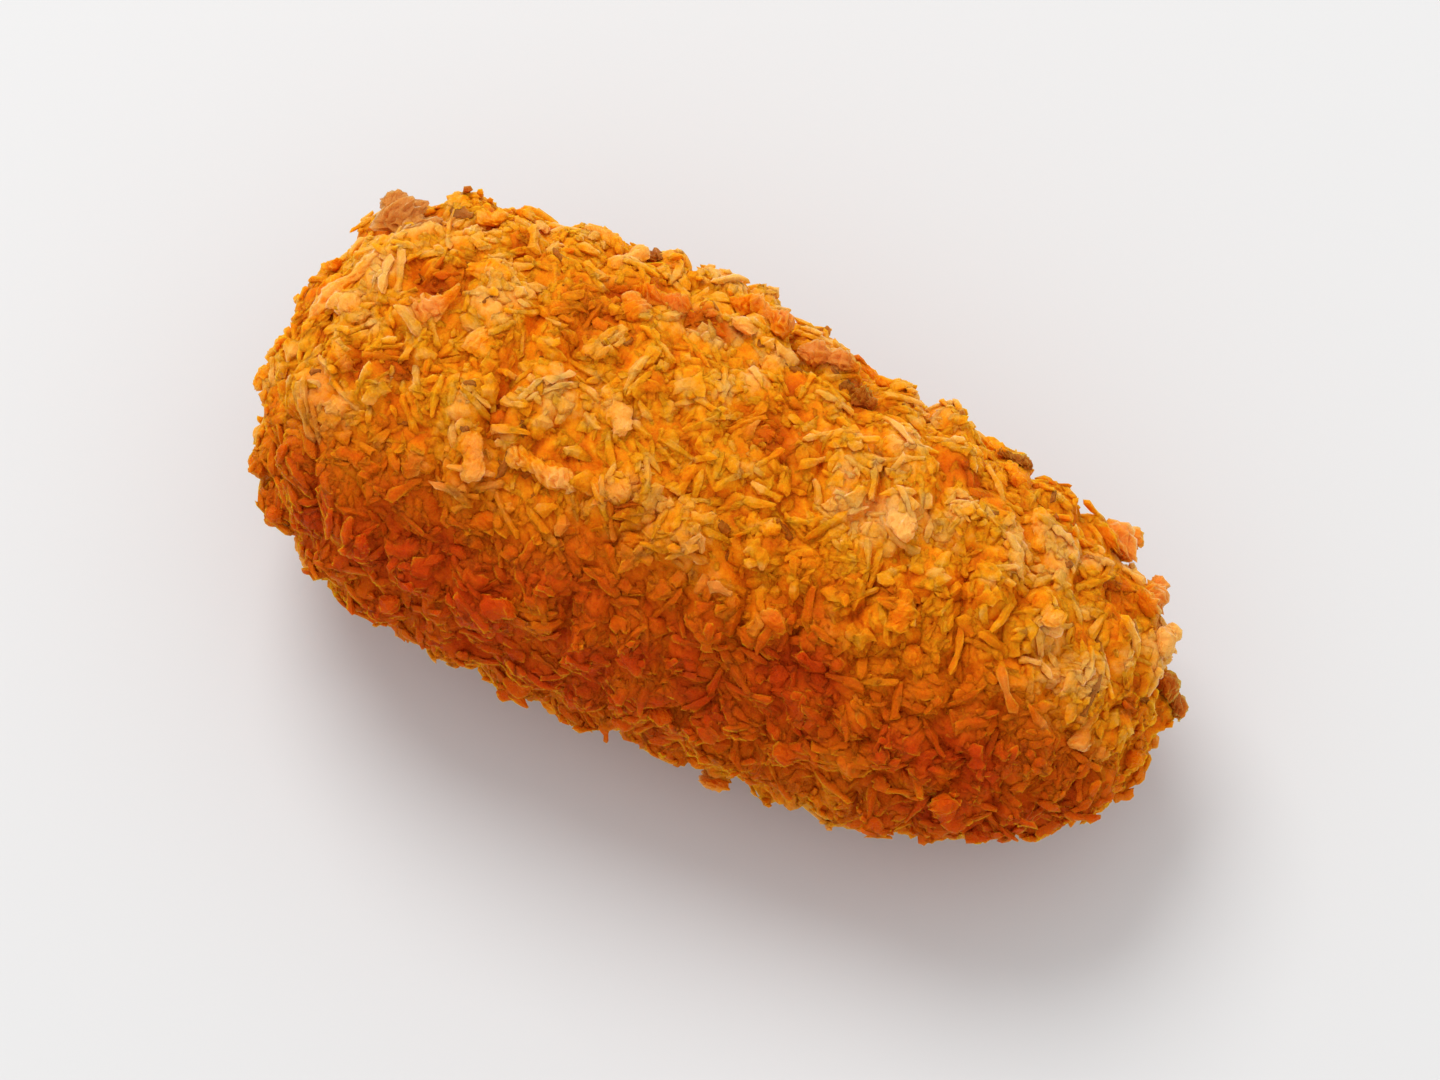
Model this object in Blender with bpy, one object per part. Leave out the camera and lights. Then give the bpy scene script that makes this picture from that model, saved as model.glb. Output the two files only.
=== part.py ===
"""A jalapeno popper: one whole breaded and fried stuffed pepper, closed all round by its crumb crust.

It lies on its back on a small flat spot. Metres, +Z up. +X runs along the popper to its blunt end,
the side shown in the photograph is up, and the origin is the middle of the flat spot.
"""

import math

import bmesh
import bpy
import numpy as np
from mathutils import Matrix, Vector

# The coated body, without the crumbs that stand proud of it
LENGTH = 0.0654
HALF_WIDTH = 0.0150
HALF_DEPTH = 0.0143
AXIS_HEIGHT = 0.0139

# How the body thins from the blunt end, at +X, to the round one
TAPER = 0.12
BLUNT_CORNER = (3.5, 3.0)
ROUND_CORNER = (3.6, 2.3)

# The middle line bows sideways, as a pepper does
BOW = 0.0012
BOW_SKEW = -0.0010
BOW_SHIFT = -0.0004

# Relief of the crust: long swells, and crags between creases. The crags fade out over the lowest
# band, where the crust is pressed flat
SWELL_HEIGHT = 0.00035
SWELL_WAVES = (0.016, 0.028)
SWELL_SEED = 44
CRAG_HEIGHT = 0.00095
CRAG_WAVES = (0.0050, 0.0085)
CRAG_SEED = 15
CRAG_TOP = 1.2
CRAG_MIDDLE = 0.55
PRESSED_BAND = 0.0024

# Crumbs that show from a step away: every other one is a rounded lump, the rest are shards.
# Length, width and thickness each run from lowest to highest.
CRUMB_COUNT = 216
LUMP_EVERY = 2
LUMP_SIZE = ((0.0024, 0.0042), (0.0016, 0.0025), (0.0011, 0.0016))
LUMP_ROUGHNESS = 0.22
SHARD_SIZE = ((0.0026, 0.0044), (0.0013, 0.0020), (0.0009, 0.0013))
SHARD_TIP = 0.5
SHARD_SHAKE = 0.12
CRUMB_PITCH = (math.radians(2), math.radians(22))
CRUMB_CURL = 0.2
CRUMB_SEED = 41

# How far a crumb's middle stands off the body: shares of the raised end's rise and of its
# thickness, less a little so that its ends still reach the body where that curves away
RISE_SHARE = 0.28
THICKNESS_SHARE = 0.2
BEDDING = 0.00018
CLEAR_OF_FLOOR = 0.0002

# The spiral that spreads them, and how far a place is shaken along it and round the body
GOLDEN_ANGLE = math.pi * (3 - math.sqrt(5))
SHAKE_ALONG = 0.4
SHAKE_ROUND = 0.16

# The body's grid: faces lengthways, faces across each quarter of its girth, and the share of the
# profile's arc that each end face takes
FACES_ALONG = 31
FACES_ACROSS = 10
END_SHARE = 0.13
PROFILE_POINTS = 1201

# The crumbs that mark this piece: turn about the axis from straight up, towards +Y; place along the
# body from the blunt end (0) to the round end (1); heading from the axis; pitch; size
MARKS = {
    "corner_flake": ((-41, 0.176), 140, 30, (0.0054, 0.0032, 0.0015)),
    "corner_strand": ((-9, 0.150), 56, 3, (0.0078, 0.0016, 0.0013)),
    "corner_hook": ((-7, 0.235), 29, 6, (0.0054, 0.0018, 0.0013)),
    "first_ridge": ((-38, 0.405), 4, 8, (0.0048, 0.0019, 0.0015)),
    "long_ridge": ((-49, 0.480), -7, 8, (0.0056, 0.0022, 0.0016)),
    "last_ridge": ((-47, 0.550), 10, 8, (0.0048, 0.0018, 0.0014)),
    "middle_tuft": ((22, 0.380), -3, 14, (0.0052, 0.0021, 0.0014)),
    "end_knob": ((-74, 0.822), 70, 34, (0.0044, 0.0026, 0.0018)),
    "end_ridge": ((-62, 0.873), 100, 10, (0.0046, 0.0018, 0.0014)),
    "end_fin": ((-88, 0.945), 60, 26, (0.0038, 0.0020, 0.0013)),
}


def clear_scene():
    for obj in list(bpy.data.objects):
        bpy.data.objects.remove(obj)


def new_collection(name):
    collection = bpy.data.collections.new(name)
    bpy.context.scene.collection.children.link(collection)
    return collection


def thickness_share(x):
    """The body's radius at x as a share of its full radius: a taper times a rounded corner at each end."""
    t = x / (LENGTH / 2)
    flat = np.where(t > 0, BLUNT_CORNER[0], ROUND_CORNER[0])
    full = np.where(t > 0, BLUNT_CORNER[1], ROUND_CORNER[1])
    return (1 + TAPER * t) * np.clip(1 - np.abs(t) ** flat, 0, 1) ** (1 / full)


def profile_tables():
    """x and radius share along the profile, with the share of its arc and of the skin's area before each."""
    x = LENGTH / 2 * np.cos(np.linspace(0, math.pi, PROFILE_POINTS))
    share = thickness_share(x)
    step = np.hypot(np.diff(x), HALF_WIDTH * np.diff(share))
    arc = np.concatenate([[0], np.cumsum(step)])
    area = np.concatenate([[0], np.cumsum(step * (share[1:] + share[:-1]))])
    return x, share, arc / arc[-1], area / area[-1]


PROFILE_X, PROFILE_SHARE, PROFILE_ARC, PROFILE_AREA = profile_tables()


def smooth_skin(along, turn):
    """Points of the body without relief. along is the share of the profile's arc from the blunt end.

    The taper raises the middle line at the thick end, so the underside lies level."""
    x = np.interp(along, PROFILE_ARC, PROFILE_X)
    share = np.interp(along, PROFILE_ARC, PROFILE_SHARE)
    t = x / (LENGTH / 2)
    y = BOW * t**2 + BOW_SKEW * t + BOW_SHIFT + HALF_WIDTH * share * np.sin(turn)
    z = AXIS_HEIGHT + HALF_DEPTH * (TAPER * t + share * np.cos(turn))
    return np.stack([x, y, z], axis=-1)


def outward(along, turn):
    """Unit normals of the smooth skin, from its two slopes."""
    small = 1e-4
    along = np.clip(along, 0.004, 0.996)
    by_along = smooth_skin(along + small, turn) - smooth_skin(along - small, turn)
    by_turn = smooth_skin(along, turn + small) - smooth_skin(along, turn - small)
    normal = np.cross(by_turn, by_along)
    return normal / np.linalg.norm(normal, axis=-1, keepdims=True)


def wave_field(points, lengths, count, seed):
    """A field of crossing sine waves with random directions, of about -1 to 1."""
    draw = np.random.RandomState(seed)
    ways = draw.normal(size=(count, 3))
    ways /= np.linalg.norm(ways, axis=1, keepdims=True)
    ways *= 2 * math.pi / draw.uniform(*lengths, size=(count, 1))
    starts = draw.uniform(0, 2 * math.pi, count)
    return np.sin(points @ ways.T + starts).sum(axis=-1) / math.sqrt(count)


def relief(points):
    """Height of the crust over the smooth skin: swells, plus crags that meet in creases."""
    swell = SWELL_HEIGHT * wave_field(points, SWELL_WAVES, count=7, seed=SWELL_SEED)
    ridges = np.abs(wave_field(points, CRAG_WAVES, count=11, seed=CRAG_SEED))
    crag = CRAG_HEIGHT * (np.clip(ridges, 0, CRAG_TOP) - CRAG_MIDDLE)
    free = np.clip(points[..., 2] / PRESSED_BAND, 0, 1)
    return swell + crag * free


def crust_skin(along, turn):
    """Points of the craggy body, and the outward direction at each."""
    smooth = smooth_skin(along, turn)
    normal = outward(along, turn)
    return smooth + normal * relief(smooth)[..., None], normal


def crust_material():
    material = bpy.data.materials.new("fried_crumb")
    material.use_nodes = True
    shader = material.node_tree.nodes["Principled BSDF"]
    shader.inputs["Base Color"].default_value = (0.58, 0.22, 0.03, 1)
    shader.inputs["Roughness"].default_value = 0.55
    shader.inputs["Metallic"].default_value = 0
    return material


def finished_mesh(name, shape):
    """A mesh of triangles from a bmesh, split along each face's shorter diagonal."""
    bmesh.ops.triangulate(shape, faces=shape.faces, quad_method="SHORT_EDGE")
    mesh = bpy.data.meshes.new(name)
    shape.to_mesh(mesh)
    shape.free()
    return mesh


def wrap(cube):
    """Along and turn for points of the cube: its long faces go round the body, its end faces close it."""
    x, y, z = cube.T
    ring = np.maximum(np.abs(y), np.abs(z))
    upright = np.abs(z) >= np.abs(y)
    over = np.where(upright & (ring > 0), z, 1)
    beside = np.where(upright, 1, y)
    turn_of_top = math.pi / 4 * y / over + np.where(z < 0, math.pi, 0)
    turn_of_side = math.pi / 2 * np.sign(y) - math.pi / 4 * z / beside
    along = END_SHARE + (1 - 2 * END_SHARE) * (1 - x) / 2
    along = np.where(x > 0.999, END_SHARE * ring, along)
    along = np.where(x < -0.999, 1 - END_SHARE * ring, along)
    return along, np.where(upright, turn_of_top, turn_of_side)


def make_body(collection):
    """A cube cut into an even grid, with each of its points then moved onto the craggy skin."""
    shape = bmesh.new()
    bmesh.ops.create_cube(shape, size=2)
    for axis, faces in enumerate((FACES_ALONG, FACES_ACROSS, FACES_ACROSS)):
        edges = [e for e in shape.edges if abs((e.verts[0].co - e.verts[1].co)[axis]) > 1]
        bmesh.ops.subdivide_edges(shape, edges=edges, cuts=faces - 1)
    cube = np.array([corner.co for corner in shape.verts])
    points, _ = crust_skin(*wrap(cube))
    for corner, point in zip(shape.verts, points):
        corner.co = point
    mesh = finished_mesh("popper", shape)
    mesh.materials.append(crust_material())
    body = bpy.data.objects.new("popper", mesh)
    collection.objects.link(body)
    return body


def crumb_place(body, along, turn, heading, pitch, lift):
    """Lays a crumb's length along the body at a heading, with one end raised, and lifts it off the body."""
    skin, normal = crust_skin(np.array([along]), np.array([turn]))
    _, spot, _, _ = body.closest_point_on_mesh(Vector(skin[0]))
    up = Vector(normal[0])
    lengthways = Vector((-1, 0, 0))
    lengthways = (lengthways - up * lengthways.dot(up)).normalized()
    across = up.cross(lengthways)
    lie = Matrix((lengthways, across, up)).transposed()
    turned = lie @ Matrix.Rotation(heading, 3, "Z") @ Matrix.Rotation(-pitch, 3, "Y")
    return Matrix.Translation(spot + up * lift) @ turned.to_4x4()


def lump(draw):
    """A rounded crumb of unit size: a small icosphere, roughened corner by corner."""
    shape = bmesh.new()
    bmesh.ops.create_icosphere(shape, subdivisions=1, radius=0.5)
    for corner in shape.verts:
        corner.co *= 1 + draw.uniform(-LUMP_ROUGHNESS, LUMP_ROUGHNESS)
    return shape


def shard(draw):
    """A sharp crumb of unit size: a three-sided stick along X, thinner at one end, its corners shaken."""
    shape = bmesh.new()
    bmesh.ops.create_cone(
        shape, cap_ends=True, segments=3, radius1=0.6, radius2=0.6 * SHARD_TIP, depth=1
    )
    shape.transform(Matrix.Rotation(math.pi / 2, 4, "Y"))
    for corner in shape.verts:
        corner.co += Vector(draw.uniform(-SHARD_SHAKE, SHARD_SHAKE, size=3))
    return shape


def add_crumb(name, collection, body, shape, place, heading, pitch, size):
    """Scales a crumb to its size, curls its ends up, and beds it in the body, clear of the floor."""
    length, width, thickness = size
    curl = CRUMB_CURL * thickness
    for corner in shape.verts:
        x, y, z = corner.co
        corner.co = (length * x, width * y, thickness * z + curl * (4 * x * x - 0.5))
    lift = RISE_SHARE * length * math.sin(pitch) + THICKNESS_SHARE * thickness - BEDDING
    shape.transform(crumb_place(body, *place, heading, pitch, lift))
    lowest = min(corner.co.z for corner in shape.verts)
    crumb = bpy.data.objects.new(name, finished_mesh(name, shape))
    if lowest > CLEAR_OF_FLOOR:
        collection.objects.link(crumb)


def add_marks(collection, body):
    draw = np.random.RandomState(CRUMB_SEED)
    for name, ((turn, along), *lie, size) in MARKS.items():
        heading, pitch = (math.radians(angle) for angle in lie)
        add_crumb(name, collection, body, lump(draw), (along, math.radians(turn)), heading, pitch, size)


def add_crumbs(collection, body):
    """Crumbs spread evenly over the skin: a spiral by the golden angle, with each place shaken a little."""
    draw = np.random.RandomState(CRUMB_SEED + 1)
    for i in range(CRUMB_COUNT):
        share = (i + 0.5 + draw.uniform(-SHAKE_ALONG, SHAKE_ALONG)) / CRUMB_COUNT
        along = float(np.interp(share, PROFILE_AREA, PROFILE_ARC))
        turn = i * GOLDEN_ANGLE + draw.uniform(-SHAKE_ROUND, SHAKE_ROUND)
        rounded = i % LUMP_EVERY == 0
        shape = lump(draw) if rounded else shard(draw)
        size = [draw.uniform(*limits) for limits in (LUMP_SIZE if rounded else SHARD_SIZE)]
        heading = draw.uniform(0, 2 * math.pi)
        pitch = draw.uniform(*CRUMB_PITCH)
        add_crumb(f"crumb_{i:03d}", collection, body, shape, (along, turn), heading, pitch, size)


def fuse(body, crumbs):
    """One union of the body with all crumbs, applied, with the crumbs then removed."""
    union = body.modifiers.new("fuse_crumbs", "BOOLEAN")
    union.operation = "UNION"
    union.operand_type = "COLLECTION"
    union.solver = "MANIFOLD"
    union.collection = crumbs
    bpy.context.view_layer.update()
    graph = bpy.context.evaluated_depsgraph_get()
    fused = bpy.data.meshes.new_from_object(body.evaluated_get(graph))
    body.modifiers.clear()
    body.data = fused
    for crumb in list(crumbs.objects):
        bpy.data.objects.remove(crumb)
    bpy.data.collections.remove(crumbs)


def keep_outer_skin(shape):
    """Drops each shell but the largest: hollows sealed between crumbs, and scraps of cut crumbs."""
    left = set(shape.faces)
    shells = []
    while left:
        shell = {left.pop()}
        rim_of_shell = set(shell)
        while rim_of_shell:
            rim_of_shell = {f for face in rim_of_shell for e in face.edges for f in e.link_faces} & left
            left -= rim_of_shell
            shell |= rim_of_shell
        shells.append(shell)
    shells.sort(key=len)
    loose = [face for shell in shells[:-1] for face in shell]
    bmesh.ops.delete(shape, geom=loose, context="FACES")


def press_flat(shape):
    """Cuts the underside off level at the height it rests on, and closes the cut."""
    everything = shape.verts[:] + shape.edges[:] + shape.faces[:]
    cut = bmesh.ops.bisect_plane(
        shape, geom=everything, plane_co=(0, 0, 0), plane_no=(0, 0, -1), clear_outer=True
    )
    rim = [item for item in cut["geom_cut"] if isinstance(item, bmesh.types.BMEdge)]
    bmesh.ops.triangle_fill(shape, use_beauty=True, edges=rim, normal=(0, 0, -1))


def finish(body):
    shape = bmesh.new()
    shape.from_mesh(body.data)
    press_flat(shape)
    keep_outer_skin(shape)
    bmesh.ops.recalc_face_normals(shape, faces=shape.faces)
    shape.to_mesh(body.data)
    shape.free()


def main():
    clear_scene()
    popper = new_collection("jalapeno_popper")
    crumbs = new_collection("crumbs")
    body = make_body(popper)
    bpy.context.view_layer.update()
    add_marks(crumbs, body)
    add_crumbs(crumbs, body)
    fuse(body, crumbs)
    finish(body)


main()
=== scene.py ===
"""The looks of a breaded and fried jalapeno popper, lying on a pale floor.

Metres, +Z up. +X runs along the popper to its blunt end, and the origin is the middle of the flat
spot that it rests on. Places on its skin are given by along, the share of the way from the blunt end
(0) to the round end (1), and turn, the angle about its length from straight up, towards +Y.
"""

import itertools
import math

import bpy
import numpy as np
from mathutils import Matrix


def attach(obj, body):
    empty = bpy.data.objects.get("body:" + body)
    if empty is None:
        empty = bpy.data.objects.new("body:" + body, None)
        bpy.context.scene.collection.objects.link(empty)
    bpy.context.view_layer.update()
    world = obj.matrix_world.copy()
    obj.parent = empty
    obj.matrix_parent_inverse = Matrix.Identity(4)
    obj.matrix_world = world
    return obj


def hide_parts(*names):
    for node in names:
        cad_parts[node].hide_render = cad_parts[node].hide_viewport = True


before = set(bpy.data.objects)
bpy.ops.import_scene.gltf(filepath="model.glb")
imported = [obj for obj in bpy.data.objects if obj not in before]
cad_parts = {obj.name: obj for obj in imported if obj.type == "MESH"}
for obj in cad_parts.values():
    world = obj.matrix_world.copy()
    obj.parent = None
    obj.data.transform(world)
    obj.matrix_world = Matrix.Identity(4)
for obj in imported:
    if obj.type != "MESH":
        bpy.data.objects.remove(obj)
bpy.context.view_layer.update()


# The crust. Batter and crumb fried into one rough shell round the whole pepper, with crags that meet
# in creases. It is one closed skin, stepped along and round the body and pushed out by the crags and
# by the fine crumb that fills the space between the larger crumbs. Its underside is pressed flat.

# The body: its size, how much thicker its blunt end is than its middle, the two powers that round off
# each end, and the sideways bow of its middle line
LENGTH = 0.0654
HALF_WIDTH = 0.0150
HALF_DEPTH = 0.0143
AXIS_HEIGHT = 0.0139
TAPER = 0.12
BLUNT_CORNER = (3.5, 3.0)
ROUND_CORNER = (3.6, 2.3)
BOW = 0.0012
BOW_SKEW = -0.0010
BOW_SHIFT = -0.0004

# Its relief: long swells, then crags, the size at which a crag is cut off and the one that is level with
# the skin. How high up the pressed underside reaches, and the share of the fine crumb that is left there
SWELL_HEIGHT = 0.00035
SWELL_WAVES = (0.016, 0.028)
SWELL_SEED = 44
CRAG_HEIGHT = 0.00095
CRAG_WAVES = (0.0050, 0.0085)
CRAG_SEED = 15
CRAG_TOP = 1.2
CRAG_MIDDLE = 0.55
PRESSED_BAND = 0.0024
PRESSED_CRUMB = 0.35

# The mesh: points along the measured profile, rings along the body, and points round each ring
PROFILE_POINTS = 1201
ROWS_ALONG = 330
POINTS_ROUND = 290

# How near its two tips, where it shrinks to a point, the skin's slope is still taken
SLOPE_ENDS = (0.004, 0.996)

# The packed crumb of the shell, coarse to fine: how far apart its lumps are and how high they stand,
# their least height and its range as shares of that, and the level that is taken as the skin
PACKED_PITCHES = (0.0025, 0.0013, 0.0007)
PACKED_HEIGHTS = (0.00034, 0.00022, 0.00010)
PACKED_LEAST = 0.55
PACKED_RANGE = 0.9
PACKED_LEVEL = 0.62
PACKED_SEED = 80
CELL_KINDS = 256

# The seams between its lumps: how wide they are, as a share of the pitch, and how far they wander
SEAM_WIDTH = 0.55
SEAM_WARP = 0.00045
SEAM_WARP_WAVES = (0.0016, 0.0034)
SEAM_WARP_SEED = 70


def thickness_share(x):
    """The body's radius at x as a share of its full radius: a taper times a rounded corner at each end."""
    t = x / (LENGTH / 2)
    flat = np.where(t > 0, BLUNT_CORNER[0], ROUND_CORNER[0])
    full = np.where(t > 0, BLUNT_CORNER[1], ROUND_CORNER[1])
    return (1 + TAPER * t) * np.clip(1 - np.abs(t) ** flat, 0, 1) ** (1 / full)


def profile_tables():
    """x and radius share along the profile, with the share of its arc and of the skin's area before each."""
    x = LENGTH / 2 * np.cos(np.linspace(0, math.pi, PROFILE_POINTS))
    share = thickness_share(x)
    step = np.hypot(np.diff(x), HALF_WIDTH * np.diff(share))
    arc = np.concatenate([[0], np.cumsum(step)])
    area = np.concatenate([[0], np.cumsum(step * (share[1:] + share[:-1]))])
    return x, share, arc / arc[-1], area / area[-1]


PROFILE_X, PROFILE_SHARE, PROFILE_ARC, PROFILE_AREA = profile_tables()


def smooth_skin(along, turn):
    """Points of the body without relief: an oval of half width and half depth times the profile's share.

    The middle line bows sideways as a parabola, and the taper raises it at the thick end."""
    x = np.interp(along, PROFILE_ARC, PROFILE_X)
    share = np.interp(along, PROFILE_ARC, PROFILE_SHARE)
    t = x / (LENGTH / 2)
    y = BOW * t**2 + BOW_SKEW * t + BOW_SHIFT + HALF_WIDTH * share * np.sin(turn)
    z = AXIS_HEIGHT + HALF_DEPTH * (TAPER * t + share * np.cos(turn))
    return np.stack([x, y, z], axis=-1)


def outward(skin, along, turn, along_step=1e-4, turn_step=1e-4):
    """Unit normals of a skin: the cross product of its slopes along and round, taken over the given steps.
    Nearer to a tip than the slope's ends, it is the normal there."""
    along = np.clip(along, SLOPE_ENDS[0] + along_step, SLOPE_ENDS[1] - along_step)
    by_along = skin(along + along_step, turn) - skin(along - along_step, turn)
    by_turn = skin(along, turn + turn_step) - skin(along, turn - turn_step)
    normal = np.cross(by_turn, by_along)
    return normal / np.linalg.norm(normal, axis=-1, keepdims=True)


def wave_field(points, lengths, count, seed):
    """A field of about -1 to 1: the sum of sine waves that cross in random directions."""
    draw = np.random.RandomState(seed)
    ways = draw.normal(size=(count, 3))
    ways /= np.linalg.norm(ways, axis=1, keepdims=True)
    ways *= 2 * math.pi / draw.uniform(*lengths, size=(count, 1))
    starts = draw.uniform(0, 2 * math.pi, count)
    return np.sin(points @ ways.T + starts).sum(axis=-1) / math.sqrt(count)


def three_waves(points, lengths, seed):
    """A shift along X, Y and Z for each point, each from a wave field of its own."""
    return np.stack([wave_field(points, lengths, count=9, seed=seed + axis) for axis in range(3)], axis=-1)


def off_floor(points):
    """From 0 on the floor to 1 at the top of the pressed band, in a straight line."""
    return np.clip(points[..., 2] / PRESSED_BAND, 0, 1)


def crags(points):
    """Height of the crust over the smooth skin: long swells, and crags that are the size of a wave field
    whatever its sign, so that they meet in a crease where the field is 0."""
    swell = SWELL_HEIGHT * wave_field(points, SWELL_WAVES, count=7, seed=SWELL_SEED)
    ridges = np.abs(wave_field(points, CRAG_WAVES, count=11, seed=CRAG_SEED))
    crag = CRAG_HEIGHT * (np.clip(ridges, 0, CRAG_TOP) - CRAG_MIDDLE)
    return swell + crag * off_floor(points)


# The coarse crumbs: every other one is a rounded lump, and the rest are shards. How many there are, how
# large (length, width and thickness), how they lie, and the spiral that spreads them, a little shaken
CRUMB_COUNT = 216
LUMP_SIZE = ((0.0024, 0.0042), (0.0016, 0.0025), (0.0011, 0.0016))
SHARD_SIZE = ((0.0026, 0.0044), (0.0013, 0.0020), (0.0009, 0.0013))
COARSE_PITCH = (math.radians(2), math.radians(22))
GOLDEN_ANGLE = math.pi * (3 - math.sqrt(5))
SHAKE_ALONG = 0.4
SHAKE_ROUND = 0.16
COARSE_SEED = 42

# Random numbers that shape the solid's lumps and shards, and are passed over here
LUMP_CORNER_DRAWS = 12
SHARD_CORNER_DRAWS = (6, 3)

# How far a coarse crumb's middle stands over the skin: shares of its raised end's rise and of its
# thickness, less a little, so that its low end is bedded in the skin
RISE_SHARE = 0.28
THICKNESS_SHARE = 0.2
BEDDING = 0.00018

# The mounds that they make under the coat: their share of a crumb's height, length and width, how far
# into the crust they are counted, and how much they lean and round off
LUMP_MOUND = 0.48
SHARD_MOUND = 0.36
MOUND_LENGTH = 0.52
MOUND_WIDTH = 0.56
MOUND_DEPTH = 0.0030
MOUND_LEANING = 1.4
MOUND_POWER = 2.6

# How uneven a mound's rim is, and how high it stands where it has its full tone
MOUND_WARP = 0.00035
MOUND_WARP_WAVES = (0.0016, 0.0032)
MOUND_WARP_SEED = 60
MOUND_TONED = 0.0002
MOUND_BATCHES = 16


def coarse_crumbs():
    """A row for each unmarked coarse crumb: along, turn, heading, pitch, length, width, thickness, and 1 for
    a lump or 0 for a shard. Equal shares of the skin's area lie between them along it, and the golden
    angle round it, both a little shaken, in the same random order as the solid's own crumbs."""
    draw = np.random.RandomState(COARSE_SEED)
    rows = []
    for i in range(CRUMB_COUNT):
        share = (i + 0.5 + draw.uniform(-SHAKE_ALONG, SHAKE_ALONG)) / CRUMB_COUNT
        turn = i * GOLDEN_ANGLE + draw.uniform(-SHAKE_ROUND, SHAKE_ROUND)
        lump = i % 2 == 0
        draw.uniform(size=LUMP_CORNER_DRAWS if lump else SHARD_CORNER_DRAWS)
        size = [draw.uniform(*limits) for limits in (LUMP_SIZE if lump else SHARD_SIZE)]
        heading = draw.uniform(0, 2 * math.pi)
        along = np.interp(share, PROFILE_AREA, PROFILE_ARC)
        rows.append((along, turn, heading, draw.uniform(*COARSE_PITCH), *size, lump))
    return np.array(rows, float)


def crumb_axes(normal, heading, pitch):
    """Three directions for each crumb, along it, across it and up from it: its length lies on the skin at
    a heading from the body's length, and is then raised at one end by its pitch."""
    lengthways = np.array([-1.0, 0, 0]) + normal * normal[:, :1]
    lengthways /= np.linalg.norm(lengthways, axis=1, keepdims=True)
    across = np.cross(normal, lengthways)
    cos_h, sin_h = np.cos(heading)[:, None], np.sin(heading)[:, None]
    cos_p, sin_p = np.cos(pitch)[:, None], np.sin(pitch)[:, None]
    ahead = cos_h * lengthways + sin_h * across
    beside = cos_h * across - sin_h * lengthways
    return np.stack([cos_p * ahead + sin_p * normal, beside, cos_p * normal - sin_p * ahead], axis=1)


def coarse_lift(length, pitch, thickness):
    """How far a coarse crumb's middle stands over the skin: a share of its raised end's rise plus a share
    of its thickness, less the depth of its bed."""
    return RISE_SHARE * length * np.sin(pitch) + THICKNESS_SHARE * thickness - BEDDING


COARSE = coarse_crumbs()
COARSE_TONE = np.random.RandomState(COARSE_SEED + 1).uniform(0.0, 1.0, CRUMB_COUNT)


def mound_table():
    """For each mound: its three directions, where its middle is along them, its half sizes, top and lean."""
    along, turn, heading, pitch, length, width, thickness, lump = COARSE.T
    axes = crumb_axes(outward(smooth_skin, along, turn), heading, np.zeros(CRUMB_COUNT))
    middle = np.einsum("cak,ck->ca", axes, smooth_skin(along, turn))
    depth = np.full(CRUMB_COUNT, MOUND_DEPTH)
    half = np.stack([MOUND_LENGTH * length, MOUND_WIDTH * width, depth], axis=1)
    share = np.where(lump == 1, LUMP_MOUND, SHARD_MOUND)
    top = share * (coarse_lift(length, pitch, thickness) + thickness / 2)
    return axes, middle, half, top, MOUND_LEANING * np.sin(pitch)


MOUND_AXES, MOUND_MIDDLE, MOUND_HALF, MOUND_TOP, MOUND_LEAN = mound_table()


def mounds(points):
    """Height that the coarse crumbs give the skin, and their tone from -0.5 to 0.5. Each is an oval dome,
    the root of one less a power of the distance from its middle, that leans up along its length. The
    points are first shifted by waves, so that no rim is a true oval."""
    warped = points + MOUND_WARP * three_waves(points, MOUND_WARP_WAVES, MOUND_WARP_SEED)
    height = np.zeros(len(points))
    tone = np.zeros(len(points))
    for part in np.array_split(np.arange(len(points)), MOUND_BATCHES):
        place = (warped[part] @ MOUND_AXES.reshape(-1, 3).T).reshape(len(part), CRUMB_COUNT, 3)
        place = (place - MOUND_MIDDLE) / MOUND_HALF
        dome = np.sqrt(np.clip(1 - (place**2).sum(axis=2) ** (MOUND_POWER / 2), 0, 1))
        dome = MOUND_TOP * dome * (1 + MOUND_LEAN * place[:, :, 0])
        which = dome.argmax(axis=1)
        height[part] = dome[np.arange(len(part)), which]
        tone[part] = (COARSE_TONE[which] - 0.5) * np.clip(height[part] / MOUND_TONED, 0, 1)
    return height, tone


def scattered_lumps(points, pitch, seed):
    """A lump's middle lies at random in each cell of a cubic lattice. For each point: how much farther the
    second nearest middle is than the nearest, in cells, which is 0 on the seam between the two, and a
    number from 0 to 1 that the nearest lump has all over. Which kind of cell lies where is worked out
    from its place in the lattice, through a shuffled list."""
    draw = np.random.RandomState(seed)
    order = draw.permutation(CELL_KINDS)
    offsets = draw.uniform(0, 1, size=(CELL_KINDS, 3))
    numbers = draw.uniform(0, 1, size=CELL_KINDS)
    place = points / pitch
    home = np.floor(place).astype(int)
    nearest = np.full(len(points), np.inf)
    second = np.full(len(points), np.inf)
    number = np.zeros(len(points))
    for step in itertools.product((-1, 0, 1), repeat=3):
        cell = home + step
        x, y, z = cell.T
        which = order[(order[(order[x % CELL_KINDS] + y) % CELL_KINDS] + z) % CELL_KINDS]
        distance = np.linalg.norm(cell + offsets[which] - place, axis=1)
        closer = distance < nearest
        second = np.where(closer, nearest, np.minimum(second, distance))
        number = np.where(closer, numbers[which], number)
        nearest = np.where(closer, distance, nearest)
    return second - nearest, number


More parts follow.
